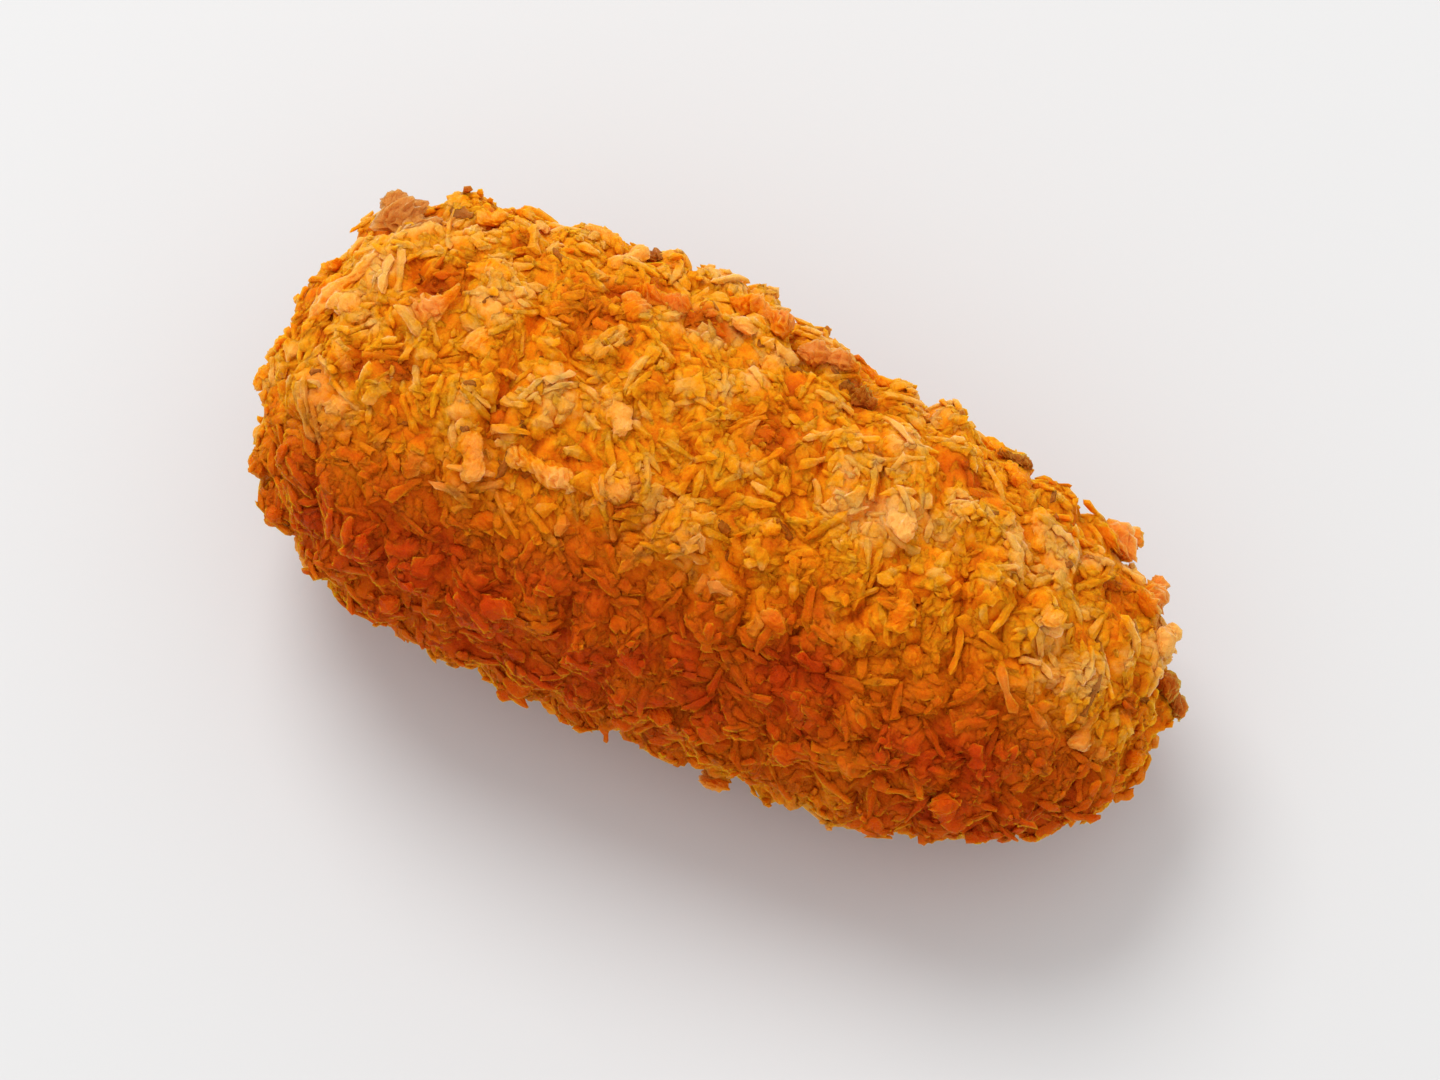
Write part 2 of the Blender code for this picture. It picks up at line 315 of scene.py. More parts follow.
def packed_crumb(points):
    """Height and tone of the fine crumb: at each size, domes that drop to a seam where two crumbs meet,
    each dome with a height of its own. The points are first shifted by waves, so that no seam is straight."""
    warped = points + SEAM_WARP * three_waves(points, SEAM_WARP_WAVES, SEAM_WARP_SEED)
    height = np.zeros(len(points))
    tone = np.zeros(len(points))
    for level, (pitch, top) in enumerate(zip(PACKED_PITCHES, PACKED_HEIGHTS)):
        seam, number = scattered_lumps(warped, pitch, seed=PACKED_SEED + level)
        dome = np.sqrt(np.clip(seam / SEAM_WIDTH, 0, 1))
        height += top * (dome * (PACKED_LEAST + PACKED_RANGE * number) - PACKED_LEVEL)
        tone += (number - 0.5) / (1 + level)
    return height, 0.5 + tone / 2


# Where the crust is darker, in broad patches and in small pits, and where it is paler: turn and along,
# how far each reaches round (in degrees) and along, and how strong it is. The patches along the lower
# side and underneath are partly darker frying and partly painted shade, the middle hollow is painted
# shade, and the pits are painted shade in the creases with some darker frying.
BROWNED_AND_SHADED_PATCHES = {
    "blunt_lower_edge": ((70, 0.30), (37, 0.20), 0.95),
    "middle_lower_edge": ((71, 0.50), (42, 0.22), 0.90),
    "round_lower_edge": ((66, 0.82), (48, 0.16), 0.90),
    "middle_hollow": ((50, 0.64), (27, 0.06), 1.00),
    "underside": ((180, 0.50), (75, 0.70), 0.40),
}
BROWNED_AND_SHADED_PITS = {
    "under_hook": ((-14, 0.233), (7.0, 0.022), 0.80),
    "blunt": ((18, 0.203), (4.9, 0.010), 0.80),
    "blunt_second": ((13, 0.238), (4.2, 0.017), 0.65),
    "blunt_third": ((16, 0.335), (5.6, 0.013), 0.65),
    "first_streak": ((-34, 0.378), (4.2, 0.025), 0.80),
    "upper": ((-18, 0.360), (8.4, 0.025), 0.45),
    "second_streak": ((-37, 0.450), (3.5, 0.022), 0.70),
    "middle": ((23, 0.458), (4.9, 0.013), 0.70),
    "upper_second": ((-13, 0.547), (7.0, 0.031), 0.60),
    "third_streak": ((-35, 0.703), (4.2, 0.025), 0.80),
    "long": ((12, 0.677), (3.5, 0.025), 0.60),
    "under_knob": ((-49, 0.843), (8.4, 0.022), 0.70),
    "round_lower": ((32, 0.770), (8.4, 0.018), 0.80),
    "round_second": ((35, 0.815), (9.8, 0.022), 0.80),
    "round_end": ((-12, 0.935), (11.2, 0.017), 0.70),
}
PALE_PATCHES = {
    "blunt": ((-22, 0.292), (12, 0.025), 0.80),
    "middle": ((2, 0.375), (10, 0.040), 0.60),
    "right_of_middle": ((-5, 0.633), (11, 0.035), 1.00),
    "round": ((-1, 0.825), (10, 0.025), 0.90),
    "round_upper": ((-21, 0.782), (9, 0.035), 0.60),
}
# How deep a pit is pressed in, and the share of its strength that shows as browning and painted shade
PIT_DEPTH = 0.00030
PIT_BROWNING_AND_SHADE = 0.85

# The height that colours the crust, with painted shade in the low seams between crumbs and painted
# highlight on what stands high: how much of a crag's and a mound's counts, and how much a pale patch
# adds. Then the share of a mound's tone that shows, and the highest tone of a crumb that isn't toasted
CRAG_SHARE = 0.35
MOUND_SHARE = 0.40
PALE_RISE = 0.00055
MOUND_TONE = 0.5
UNTOASTED = 0.88


def patch_share(patches, along, turn):
    """From 0 to 1 at each place: within each patch's reach of its middle a flat-topped bell, whose power is
    the fourth, and the largest winning."""
    most = np.zeros(len(along))
    for (patch_turn, patch_along), (reach_round, reach_along), strength in patches.values():
        round_off = (np.degrees(turn) - patch_turn + 180) % 360 - 180
        off = (round_off / reach_round) ** 2 + ((along - patch_along) / reach_along) ** 2
        most = np.maximum(most, strength * np.exp(-(off**2)))
    return most


def browning(along, turn):
    """How much darker the crust is, from 0 to 1, as darker frying and painted shade: the larger of what the
    patches and the pits give it. A pit darkens a little less than a patch of the same strength."""
    pits = PIT_BROWNING_AND_SHADE * patch_share(BROWNED_AND_SHADED_PITS, along, turn)
    return np.maximum(patch_share(BROWNED_AND_SHADED_PATCHES, along, turn), pits)


def mounded_skin(along, turn):
    """Points of the smooth skin moved out by the crags and by the mounds, without the fine crumb."""
    smooth = smooth_skin(along, turn)
    height = crags(smooth) + off_floor(smooth) * mounds(smooth)[0]
    return smooth + outward(smooth_skin, along, turn) * height[:, None]


def crust_skin(along, turn, with_mounds=True):
    """Points of the finished crust, their outward directions, heights for the colour, which paint shade low
    down and highlight high up, and tones: the smooth skin moved out by crags, mounds and packed crumb, and
    in by the pits."""
    smooth = smooth_skin(along, turn)
    normal = outward(smooth_skin, along, turn)
    free = off_floor(smooth)
    crag = crags(smooth)
    mound, mound_tone = mounds(smooth)
    mound = mound * free * with_mounds
    crumb, tone = packed_crumb(smooth)
    crumb = crumb * (PRESSED_CRUMB + (1 - PRESSED_CRUMB) * free)
    crumb = crumb - PIT_DEPTH * patch_share(BROWNED_AND_SHADED_PITS, along, turn)
    points = smooth + normal * (crag + mound + crumb)[:, None]
    colour_height = CRAG_SHARE * crag + MOUND_SHARE * mound + crumb
    colour_height += PALE_RISE * patch_share(PALE_PATCHES, along, turn)
    return points, normal, colour_height, tone + MOUND_TONE * mound_tone


def closed_tube_faces(rows, sides):
    """Triangles of a tube of rings, numbered ring by ring, with one point closing each end after them."""
    ring = np.arange(sides)
    after = (ring + 1) % sides
    start = np.arange(rows - 1)[:, None] * sides
    corners = [start + ring, start + after, start + sides + after, start + sides + ring]
    first = np.stack([corners[0], corners[1], corners[2]], axis=-1).reshape(-1, 3)
    second = np.stack([corners[0], corners[2], corners[3]], axis=-1).reshape(-1, 3)
    last = (rows - 1) * sides
    start_cap = np.stack([after, ring, np.full(sides, rows * sides)], axis=-1)
    end_cap = np.stack([last + ring, last + after, np.full(sides, rows * sides + 1)], axis=-1)
    return np.concatenate([first, second, start_cap, end_cap])


def make_piece(name, points, faces, material, smooth=True, **surface):
    """A mesh of triangles, smooth or with each facet seen, and a number a point for each named attribute."""
    mesh = bpy.data.meshes.new(name)
    mesh.vertices.add(len(points))
    mesh.vertices.foreach_set("co", points.astype(np.float32).ravel())
    mesh.loops.add(faces.size)
    mesh.loops.foreach_set("vertex_index", faces.astype(np.int32).ravel())
    mesh.polygons.add(len(faces))
    mesh.polygons.foreach_set("loop_start", np.arange(0, faces.size, 3, dtype=np.int32))
    mesh.update(calc_edges=True)
    if smooth:
        mesh.shade_smooth()
    else:
        mesh.shade_flat()
    for what, values in surface.items():
        layer = mesh.attributes.new(what, "FLOAT", "POINT")
        layer.data.foreach_set("value", values.astype(np.float32).ravel())
    mesh.materials.append(material)
    piece = bpy.data.objects.new(name, mesh)
    bpy.context.scene.collection.objects.link(piece)
    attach(piece, "root")
    return piece


# Fried crumb: its colours from the bottom of a crease to the tip of a crumb, painted shade low down and
# painted highlight high up, then toasted, then the browns of browning and painted shade
CREASE_SHADE_BROWN = (0.610, 0.098, 0.0010, 1)
DEEP_ORANGE = (0.765, 0.161, 0.0013, 1)
GOLDEN = (0.865, 0.260, 0.0034, 1)
HIGHLIGHT_GOLD = (0.885, 0.375, 0.0800, 1)
TOASTED = (0.220, 0.046, 0.0045, 1)
# Orange brown and red brown darken the crust both where it is browned and where shade is painted
ORANGE_BROWN = (0.640, 0.112, 0.0010, 1)
RED_BROWN = (0.480, 0.040, 0.0010, 1)

# Where the climb from the first to the last of them stands at each, and the heights in millimetres that
# it runs between. What shifts it up or down: noises (their size, detail and shift) and a crumb's tone
# The climb with height paints shade into the creases and highlight onto the crumbs' tips
CLIMB = ((0.10, CREASE_SHADE_BROWN), (0.32, DEEP_ORANGE), (0.56, GOLDEN), (1.00, HIGHLIGHT_GOLD))
CLIMB_HEIGHTS = (-1.0, 1.2)
CLIMB_NOISES = ((0.0005, 4, 0.13), (0.0075, 2, 0.25), (0.0028, 2, 0.20))
TONE_SHIFT = 0.11

# The values that most of a noise lies between, and how rough it is. Then the noises that vary the
# browning and painted shade and the gloss and what they make of them, and the two that roughen the surface
NOISE_SPAN = (0.3, 0.7)
NOISE_ROUGHNESS = 0.6
BROWNING_AND_SHADE_NOISE = (0.0040, 3)
BROWNING_AND_SHADE_SHIFT = (0.6, 1.3)
GLOSS_NOISE = (0.0012, 3)
GLOSS_ROUGHNESS = (0.62, 0.38)
FINE_GRAIN = (0.00035, 4)
COARSE_GRAIN = (0.0011, 2)

# From which tone a crumb is toasted and how much, and how much browning and painted shade brings each of
# the two darker browns in
TOASTED_TONES = (0.90, 1.0)
TOASTED_SHARE = 0.8
ORANGE_BROWN_SPAN = (0.0, 0.5)
RED_BROWN_SPAN = (0.4, 1.0)


def fried_crumb():
    """Fried crumb: the colour climbs with height from crease brown to pale gold, painting shade low down and
    highlight high up, shifts with each crumb's tone and with slow patches, and darkens where the crust is
    browned and where shade is painted. A fine grain roughens it."""
    material = bpy.data.materials.new("fried_crumb")
    material.use_nodes = True
    tree = material.node_tree
    nodes = tree.nodes
    links = tree.links
    shader = nodes["Principled BSDF"]
    shader.inputs["Specular IOR Level"].default_value = 0.035
    shader.inputs["Subsurface Weight"].default_value = 0.60
    shader.inputs["Subsurface Radius"].default_value = (1.0, 0.85, 0.60)
    shader.inputs["Subsurface Scale"].default_value = 0.0020

    def node(kind, **settings):
        made = nodes.new(kind)
        for key, value in settings.items():
            setattr(made, key, value)
        return made

    def attribute(name):
        return node("ShaderNodeAttribute", attribute_name=name).outputs["Fac"]

    def spread(value, low, high, to_low=0.0, to_high=1.0):
        scale = node("ShaderNodeMapRange", clamp=True)
        scale.inputs["From Min"].default_value = low
        scale.inputs["From Max"].default_value = high
        scale.inputs["To Min"].default_value = to_low
        scale.inputs["To Max"].default_value = to_high
        links.new(value, scale.inputs["Value"])
        return scale.outputs["Result"]

    def grain(size, detail):
        texture = node("ShaderNodeTexNoise")
        texture.inputs["Scale"].default_value = 1 / size
        texture.inputs["Detail"].default_value = detail
        texture.inputs["Roughness"].default_value = NOISE_ROUGHNESS
        links.new(place, texture.inputs["Vector"])
        return texture.outputs["Fac"]

    def worked_out(operation, a, b):
        result = node("ShaderNodeMath", operation=operation)
        links.new(a, result.inputs[0])
        links.new(b, result.inputs[1])
        return result.outputs["Value"]

    def mixed(share, a, b):
        mix = node("ShaderNodeMix", data_type="RGBA")
        links.new(share, mix.inputs[0])
        for colour, socket in ((a, mix.inputs[6]), (b, mix.inputs[7])):
            if isinstance(colour, tuple):
                socket.default_value = colour
            else:
                links.new(colour, socket)
        return mix.outputs[2]

    place = node("ShaderNodeTexCoord").outputs["Object"]
    climb = spread(attribute("height"), *CLIMB_HEIGHTS)
    for size, detail, shift in CLIMB_NOISES:
        climb = worked_out("ADD", climb, spread(grain(size, detail), *NOISE_SPAN, -shift, shift))
    climb = worked_out("ADD", climb, spread(attribute("tone"), 0, 1, -TONE_SHIFT, TONE_SHIFT))
    ramp = node("ShaderNodeValToRGB")
    steps = ramp.color_ramp.elements
    steps.remove(steps[1])
    steps[0].position, steps[0].color = CLIMB[0]
    for at, colour in CLIMB[1:]:
        steps.new(at).color = colour
    links.new(climb, ramp.inputs["Fac"])

    toasting = spread(attribute("tone"), *TOASTED_TONES, 0, TOASTED_SHARE)
    colour = mixed(toasting, ramp.outputs["Color"], TOASTED)
    patchy = spread(grain(*BROWNING_AND_SHADE_NOISE), *NOISE_SPAN, *BROWNING_AND_SHADE_SHIFT)
    # The browning attribute, partly painted shade, made patchy by a noise
    browning_share = worked_out("MULTIPLY", attribute("browning"), patchy)
    colour = mixed(spread(browning_share, *ORANGE_BROWN_SPAN), colour, ORANGE_BROWN)
    colour = mixed(spread(browning_share, *RED_BROWN_SPAN), colour, RED_BROWN)
    links.new(colour, shader.inputs["Base Color"])

    bump = node("ShaderNodeBump")
    bump.inputs["Strength"].default_value = 0.6
    bump.inputs["Distance"].default_value = 0.0005
    links.new(worked_out("ADD", grain(*FINE_GRAIN), grain(*COARSE_GRAIN)), bump.inputs["Height"])
    links.new(bump.outputs["Normal"], shader.inputs["Normal"])
    gloss = spread(grain(*GLOSS_NOISE), *NOISE_SPAN, *GLOSS_ROUGHNESS)
    links.new(gloss, shader.inputs["Roughness"])
    return material


FRIED_CRUMB = fried_crumb()

ring_turn = np.linspace(0, 2 * math.pi, POINTS_ROUND, endpoint=False)
row_along = (np.arange(ROWS_ALONG) + 0.5) / ROWS_ALONG
crust_along = np.concatenate([np.repeat(row_along, POINTS_ROUND), [0, 1]])
crust_turn = np.concatenate([np.tile(ring_turn, ROWS_ALONG), [0, 0]])
crust_points, _, crust_height, crust_tone = crust_skin(crust_along, crust_turn)
crust_points[:, 2] = np.maximum(crust_points[:, 2], 0)
crust = make_piece(
    "crust",
    crust_points,
    closed_tube_faces(ROWS_ALONG, POINTS_ROUND),
    FRIED_CRUMB,
    height=1000 * crust_height,
    tone=UNTOASTED * crust_tone,
    browning=browning(crust_along, crust_turn),
)
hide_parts("popper")


# The coarse crumbs that stand proud. Flakes and shards of dried bread, pressed on last and fried on to
# the batter. Each is a torn, curled flake; the rounder lumps between them are mounds in the crust.
CLEAR_OF_FLOOR = 0.0002

# How a crumb's form varies: the radius that it droops round, its twist in radians, how blunt its ends
# are, the radius that they shrink to, the waves of its width and where they start, how much wider one
# end is than the other, and how far the points reach that close it
SKIN_RADIUS = 0.013
TWIST = 1.2
BLUNTNESS = (2.2, 5)
END_RADIUS = 0.03
WIDTH_WAVES = (6, 16)
WAVE_STARTS = (0, 6.3)
UNEVEN_ENDS = 0.7
TIP_REACH = 0.35


def crumb_forms(draw, size, stations, sides, rough, tear, bend, curl, edge, bow=0.0):
    """Points of closed crumbs along +X, an array of crumbs by points by 3.

    A ring of points is carried along a path that bends sideways and curls up or down as a parabola, and
    droops with the skin. The ring's radius shrinks towards both ends as a flattened circle, and swells
    and wanes between them as a sine. It twists on the way, and each of its points is pushed in or out,
    and torn forwards or back, at random. Its sides thin out to an edge, as a power of the sine. One
    point closes each end. All the crumbs' random numbers of one kind are drawn at once."""
    count = len(size)
    length, width, thickness = size.T[:, :, None, None]

    def shaken(low, high, *shape):
        return draw.uniform(low, high, size=(count, *shape))

    s = np.linspace(-0.5, 0.5, stations + 2)[None, 1:-1, None]
    s = s + shaken(-tear, tear, stations, sides) / stations
    angle = np.linspace(0, 2 * math.pi, sides, endpoint=False) + shaken(-TWIST, TWIST, 1, 1) * s
    angle = angle + shaken(0, math.pi, 1, 1)
    radius = 0.5 * np.clip(1 - np.abs(2 * s) ** shaken(*BLUNTNESS, 1, 1), END_RADIUS, 1) ** 0.5
    radius = radius * (1 + rough * np.sin(shaken(*WIDTH_WAVES, 1, 1) * s + shaken(*WAVE_STARTS, 1, 1)))
    radius = radius * (1 + shaken(-rough, rough, stations, sides))
    arch = 4 * s * s - 0.5
    bow = np.broadcast_to(bow, count)[:, None, None] + shaken(-bend, bend, 1, 1)
    y = width * (radius * np.cos(angle) * (1 + shaken(-UNEVEN_ENDS, UNEVEN_ENDS, 1, 1) * s) + bow * arch)
    z = thickness * (radius * np.sin(angle) * np.abs(np.sin(angle)) ** edge + shaken(*curl, 1, 1) * arch)
    z = z - (length * s) ** 2 / (2 * SKIN_RADIUS)
    rings = np.stack([length * s, y, z], axis=-1).reshape(count, -1, 3)
    reach = np.array([TIP_REACH / (stations + 1), 0, 0]) * size[:, None, :1]
    start = rings[:, :sides].mean(axis=1, keepdims=True) - reach
    end = rings[:, -sides:].mean(axis=1, keepdims=True) + reach
    return np.concatenate([rings, start, end], axis=1)


def crumb_piece(name, forms, stations, sides, spots, normal, ground, lie, lift, tone, browned_and_shaded, height_gain):
    """Turns crumbs to lie on the skin as their headings and pitches say, sets each on its spot, lifted
    along the normal, and joins them in one mesh, without those that would touch the floor. A point's
    height for the colour, which paints shade low down and highlight high up, is its spot's, plus how far
    it stands over that along the normal, scaled by the height gain."""
    axes = crumb_axes(normal, *lie)
    points = np.einsum("ncx,nxk->nck", forms, axes) + (spots + normal * lift[:, None])[:, None]
    clear = points[:, :, 2].min(axis=1) > CLEAR_OF_FLOOR
    points = points[clear]
    rise = np.einsum("nck,nk->nc", points - spots[clear, None], normal[clear])
    height = ground[clear, None] + rise
    per_crumb = points.shape[1]
    faces = closed_tube_faces(stations, sides)
    starts = np.arange(len(points))[:, None, None] * per_crumb
    return make_piece(
        name,
        points.reshape(-1, 3),
        (faces[None] + starts).reshape(-1, 3),
        FRIED_CRUMB,
        smooth=False,
        height=1000 * height * height_gain,
        tone=np.repeat(tone[clear], per_crumb),
        browning=np.repeat(browned_and_shaded[clear], per_crumb),
    )


def coarse_piece(name, rows, stations, sides, rough, bow, tone, browned_and_shaded, height_gain, seed):
    """Lays coarse crumbs on the crust as it is without mounds. A row has along, turn, heading, pitch,
    length, width and thickness."""
    along, turn, heading, pitch, length, _, thickness = rows.T
    spots, normal, ground, _ = crust_skin(along, turn, with_mounds=False)
    draw = np.random.RandomState(seed)
    forms = crumb_forms(
        draw, rows[:, 4:], stations, sides, rough, tear=0.6, bend=0.25, curl=(0.0, 0.3), edge=0.7, bow=bow
    )
    lie = (heading, pitch)
    lift = coarse_lift(length, pitch, thickness)
    # Each crumb is darkened by its own value or by the browning and painted shade of the crust under it,
    # whichever is more
    browned_and_shaded = np.maximum(browned_and_shaded, browning(along, turn))
    crumb_piece(name, forms, stations, sides, spots, normal, ground, lie, lift, tone, browned_and_shaded, height_gain)


IS_SHARD = COARSE[:, 7] == 0
coarse_piece(
    "shards",
    COARSE[IS_SHARD, :7],
    stations=13,
    sides=16,
    rough=0.20,
    bow=0.0,
    tone=UNTOASTED * COARSE_TONE[IS_SHARD],
    browned_and_shaded=0.0,
    height_gain=0.6,
    seed=COARSE_SEED + 2,
)

# The marked crumbs, where they show: along, turn, heading, pitch (in degrees) and size, then how far
# each is bowed sideways, its tone, and how much darker it is
MARKS = {
    "corner_flake": ((0.176, -41, 140, 30, 0.0054, 0.0032, 0.0015), 0.0, 0.97, 0.05),
    "corner_strand": ((0.150, -9, 56, 3, 0.0078, 0.0016, 0.0013), 0.2, 0.75, 0.00),
    "corner_hook": ((0.235, -7, 29, 6, 0.0054, 0.0018, 0.0013), 0.8, 0.85, 0.00),
    "first_ridge": ((0.405, -38, 4, 8, 0.0048, 0.0019, 0.0015), 0.2, 0.20, 0.35),
    "long_ridge": ((0.480, -49, -7, 8, 0.0056, 0.0022, 0.0016), -0.2, 0.20, 0.30),
    "last_ridge": ((0.550, -47, 10, 8, 0.0048, 0.0018, 0.0014), 0.0, 0.95, 0.20),
    "middle_tuft": ((0.385, 22, -6, 6, 0.0058, 0.0016, 0.0015), -0.2, 0.80, 0.00),
    "end_knob": ((0.822, -74, 70, 27, 0.0044, 0.0026, 0.0018), 0.0, 0.30, 0.25),
    "end_ridge": ((0.873, -62, 100, 10, 0.0046, 0.0018, 0.0014), 0.2, 0.30, 0.30),
    "end_fin": ((0.945, -88, 60, 26, 0.0038, 0.0020, 0.0013), 0.0, 1.00, 0.20),
}
DARK_FLAKES = {
    "first_dark": ((0.365, -70, 10, 18, 0.0040, 0.0020, 0.0011), 0.0, 1.00, 0.00),
    "second_dark": ((0.588, -43, -20, 14, 0.0030, 0.0016, 0.0014), 0.0, 1.00, 0.00),
    "third_dark": ((0.720, -68, 15, 9, 0.0028, 0.0016, 0.0009), 0.0, 1.00, 0.00),
}

# The half of a marked crumb's length, and of its width, that the coat keeps off
KEPT_LENGTH = 0.46
KEPT_WIDTH = 0.5


def marked_piece(name, marks, seed):
    """Lays a table of marked crumbs, and gives their rows and bows back, for the coat to keep off them."""
    rows = np.array([row for row, _, _, _ in marks.values()])
    rows[:, 1:4] = np.radians(rows[:, 1:4])
    bows = np.array([bow for _, bow, _, _ in marks.values()])
    coarse_piece(
        name,
        rows,
        stations=21,
        sides=20,
        rough=0.32,
        bow=bows,
        tone=np.array([tone for _, _, tone, _ in marks.values()]),
        browned_and_shaded=np.array([browned_and_shaded for _, _, _, browned_and_shaded in marks.values()]),
        height_gain=0.8,
        seed=seed,
    )
    return rows, bows


marked_rows, marked_bows = marked_piece("marked_crumbs", MARKS, COARSE_SEED + 3)
dark_rows, dark_bows = marked_piece("dark_flakes", DARK_FLAKES, COARSE_SEED + 4)
KEPT_ROWS = np.concatenate([marked_rows, dark_rows])
KEPT_BOWS = np.concatenate([marked_bows, dark_bows])


def covered_by_marks(points):
    """Whether each point lies under a marked crumb: within its length, and within its width of the
    parabola that it is bowed along."""
    along, turn, heading, _, length, width, _ = KEPT_ROWS.T
    axes = crumb_axes(outward(smooth_skin, along, turn), heading, np.zeros(len(heading)))
    way = points[:, None] - smooth_skin(along, turn)
    place = np.einsum("pcx,cax->pca", way, axes)
    s = place[:, :, 0] / length
    aside = place[:, :, 1] - width * KEPT_BOWS * (4 * s * s - 0.5)
    inside = (np.abs(s) < KEPT_LENGTH) & (np.abs(aside) < KEPT_WIDTH * width)
    inside = inside & (np.abs(place[:, :, 2]) < MOUND_DEPTH)
    return inside.any(axis=1)


# The crumb coat. Smaller flakes, shreds, grains and slivers of the same bread, pressed into the batter
# all over so that hardly any of it shows between them. Each kind is one mesh, spread by the same spiral.
# Each kind's height gain scales how far its colour climbs towards painted shade and painted highlight
CRUMB_KINDS = {
    "flakes": dict(
        count=1650,
        sizes=((0.0016, 0.0032), (0.0008, 0.0013), (0.0004, 0.0007)),
        stations=5,
        sides=7,
        pitches=(0, 9),
        edge=0.6,
        toasted_share=0.00,
        height_gain=0.85,
        seed=51,
    ),
    "shreds": dict(
        count=3250,
        sizes=((0.0021, 0.0046), (0.0005, 0.0008), (0.0004, 0.0006)),
        stations=6,
        sides=5,
        pitches=(0, 8),
        edge=0.2,
        toasted_share=0.02,
        height_gain=1.25,
        seed=52,
    ),
    "grains": dict(
        count=1700,
        sizes=((0.0008, 0.0016), (0.0005, 0.0009), (0.0003, 0.0006)),
        stations=4,
        sides=6,
        pitches=(-10, 10),
        edge=0.2,
        toasted_share=0.03,
        height_gain=0.75,
        seed=53,
    ),
    "slivers": dict(
        count=4600,
        sizes=((0.0010, 0.0023), (0.0003, 0.0005), (0.00025, 0.0004)),
        stations=4,
        sides=5,
        pitches=(-10, 10),
        edge=0.0,
        toasted_share=0.03,
        height_gain=1.05,
        seed=54,
    ),
}

# How the coat lies: how far a crumb is shaken along the spiral and round it, the share of the body at
# each end where crumbs get shorter and the share of its length that one at the tip keeps, shares of
# its raised end's rise and of its thickness that it is lifted by, and how far it is pressed in
COAT_SHAKE_ALONG = 0.5
COAT_SHAKE_ROUND = 0.08
COAT_END = 0.14
COAT_END_LENGTH = 0.6
COAT_RISE = 0.25
COAT_LIFTS = (-0.15, 0.3)
COAT_SINK = 0.00017

# The shares of a crumb's tone that are its own and the crust's under it
OWN_TONE = 0.7
GROUND_TONE = 0.3


def spread_crumbs(name, count, sizes, stations, sides, pitches, edge, toasted_share, height_gain, seed):
    """Spreads crumbs of one kind evenly: equal shares of the skin's area lie between them along it, and the
    golden angle round it, turned by the seed so that no two kinds lie in the same places."""
    draw = np.random.RandomState(seed)
    number = np.arange(count)
    share = (number + 0.5 + draw.uniform(-COAT_SHAKE_ALONG, COAT_SHAKE_ALONG, count)) / count
    along = np.interp(share, PROFILE_AREA, PROFILE_ARC)
    turn = number * GOLDEN_ANGLE + draw.uniform(-COAT_SHAKE_ROUND, COAT_SHAKE_ROUND, count) + seed
    size = np.stack([draw.uniform(*limits, size=count) for limits in sizes], axis=1)
    size[:, 0] *= np.interp(along, (0, COAT_END, 1 - COAT_END, 1), (COAT_END_LENGTH, 1, 1, COAT_END_LENGTH))
    heading = draw.uniform(0, 2 * math.pi, count)
    pitch = np.radians(draw.uniform(*pitches, size=count))
    lift = COAT_RISE * size[:, 0] * np.sin(np.abs(pitch))
    lift = lift + draw.uniform(*COAT_LIFTS, count) * size[:, 2] - COAT_SINK
    forms = crumb_forms(
        draw, size, stations, sides, rough=0.3, tear=0.5, bend=0.5, curl=(-0.45, 0.35), edge=edge
    )
    spots, _, ground, ground_tone = crust_skin(along, turn)
    normal = outward(mounded_skin, along, turn, along_step=0.0035, turn_step=0.025)
    tone = np.minimum(OWN_TONE * draw.uniform(0, 1, count) + GROUND_TONE * ground_tone, UNTOASTED)
    tone = np.where(draw.uniform(0, 1, count) < toasted_share, 1.0, tone)
    # The browning and painted shade of the crust under each crumb
    browned_and_shaded = browning(along, turn)
    seen = ~covered_by_marks(smooth_skin(along, turn))
    laid = (forms, spots, normal, ground, lift, tone, browned_and_shaded)
    forms, spots, normal, ground, lift, tone, browned_and_shaded = (values[seen] for values in laid)
    lie = (heading[seen], pitch[seen])
    crumb_piece(name, forms, stations, sides, spots, normal, ground, lie, lift, tone, browned_and_shaded, height_gain)


for kind, values in CRUMB_KINDS.items():
    spread_crumbs(kind, **values)


# The floor: a sheet of pale matt paper, wide enough to reach the horizon from any side. The popper lies
# on it on its flat spot.
FLOOR_REACH = 6.0
PAPER_GREY = 0.605

floor_mesh = bpy.data.meshes.new("floor")
floor_corners = FLOOR_REACH * np.array([(-1, -1, 0), (1, -1, 0), (1, 1, 0), (-1, 1, 0)], float)
floor_mesh.from_pydata(floor_corners.tolist(), [], [(0, 1, 2, 3)])
floor_paper = bpy.data.materials.new("floor_paper")
floor_paper.use_nodes = True
paper = floor_paper.node_tree.nodes["Principled BSDF"]
paper.inputs["Base Color"].default_value = (PAPER_GREY, PAPER_GREY, PAPER_GREY, 1)
paper.inputs["Roughness"].default_value = 0.9
paper.inputs["Specular IOR Level"].default_value = 0.1
floor_mesh.materials.append(floor_paper)
floor = bpy.data.objects.new("floor", floor_mesh)
bpy.context.scene.collection.objects.link(floor)


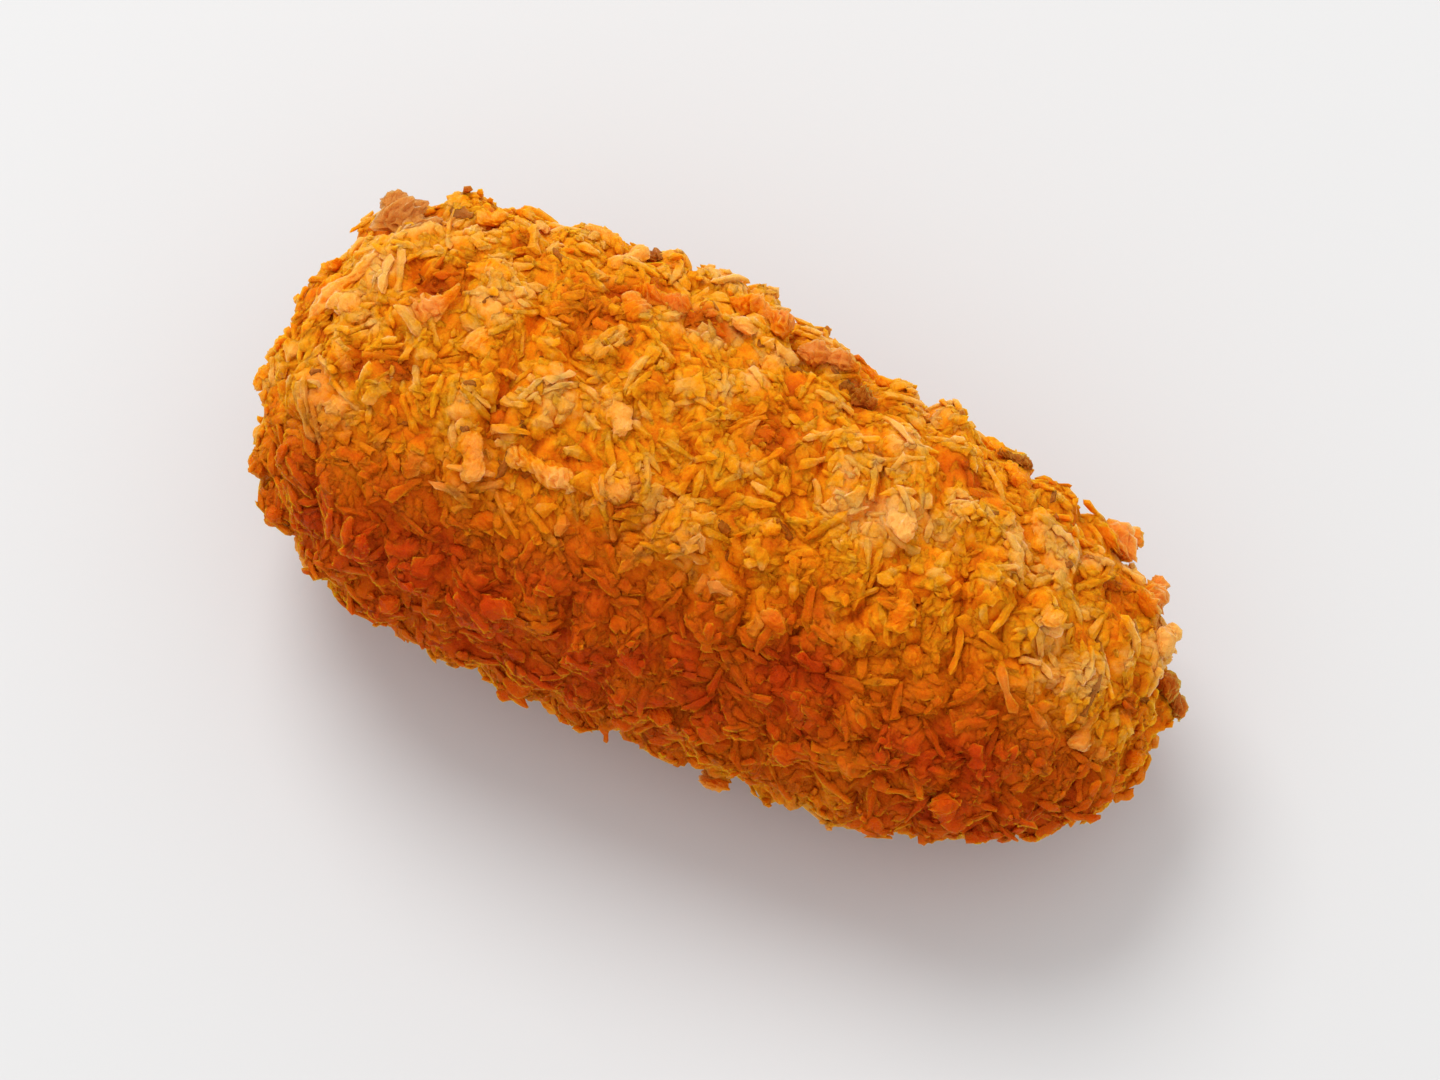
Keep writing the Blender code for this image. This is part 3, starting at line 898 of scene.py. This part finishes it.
# The light: an even pale studio all round, and one broad lamp that shines from the top of the picture, a
# little from the left.
SKY_STRENGTH = 0.96
LAMP_WAY = np.array((0.500, -0.440, 1.00))
LAMP_DISTANCE = 0.9
LAMP_TARGET = (0, 0, 0.014)
LAMP_SIZE = 0.50
LAMP_POWER = 5.0


def aim(obj, place, target):
    """Puts an object at a place and turns its -Z at the target, with its +Y kept as near up as can be."""
    back = np.subtract(place, target)
    back = back / np.linalg.norm(back)
    right = np.cross((0, 0, 1), back)
    right = right / np.linalg.norm(right)
    up = np.cross(back, right)
    matrix = np.eye(4)
    matrix[:3, :3] = np.stack([right, up, back], axis=1)
    matrix[:3, 3] = place
    obj.matrix_world = matrix.T.tolist()


sky = bpy.data.worlds.new("studio")
sky.use_nodes = True
sky.node_tree.nodes["Background"].inputs["Color"].default_value = (1, 1, 1, 1)
sky.node_tree.nodes["Background"].inputs["Strength"].default_value = SKY_STRENGTH
bpy.context.scene.world = sky

lamp_light = bpy.data.lights.new("lamp", "AREA")
lamp_light.shape = "DISK"
lamp_light.size = LAMP_SIZE
lamp_light.energy = LAMP_POWER
lamp = bpy.data.objects.new("lamp", lamp_light)
bpy.context.scene.collection.objects.link(lamp)
aim(lamp, LAMP_DISTANCE * LAMP_WAY / np.linalg.norm(LAMP_WAY), LAMP_TARGET)


# The camera: a long lens, looking down steeply on the shown side, and turned so that the popper slopes
# across the picture as in the photograph.
AZIMUTH = math.radians(204.5)
ELEVATION = math.radians(70)
LENS = 150
SENSOR = 36
PICTURE_WIDTH = 0.100
LOOK_AT = np.array((0.0, 0.0, 0.0135))

camera_way = np.array((
    math.sin(AZIMUTH) * math.cos(ELEVATION),
    -math.cos(AZIMUTH) * math.cos(ELEVATION),
    math.sin(ELEVATION),
))
camera_data = bpy.data.cameras.new("camera")
camera_data.lens = LENS
camera_data.sensor_width = SENSOR
camera_data.clip_start = 0.01
camera = bpy.data.objects.new("camera", camera_data)
bpy.context.scene.collection.objects.link(camera)
aim(camera, LOOK_AT + camera_way * PICTURE_WIDTH * LENS / SENSOR, LOOK_AT)
bpy.context.scene.camera = camera
bpy.context.scene.view_settings.view_transform = "Standard"
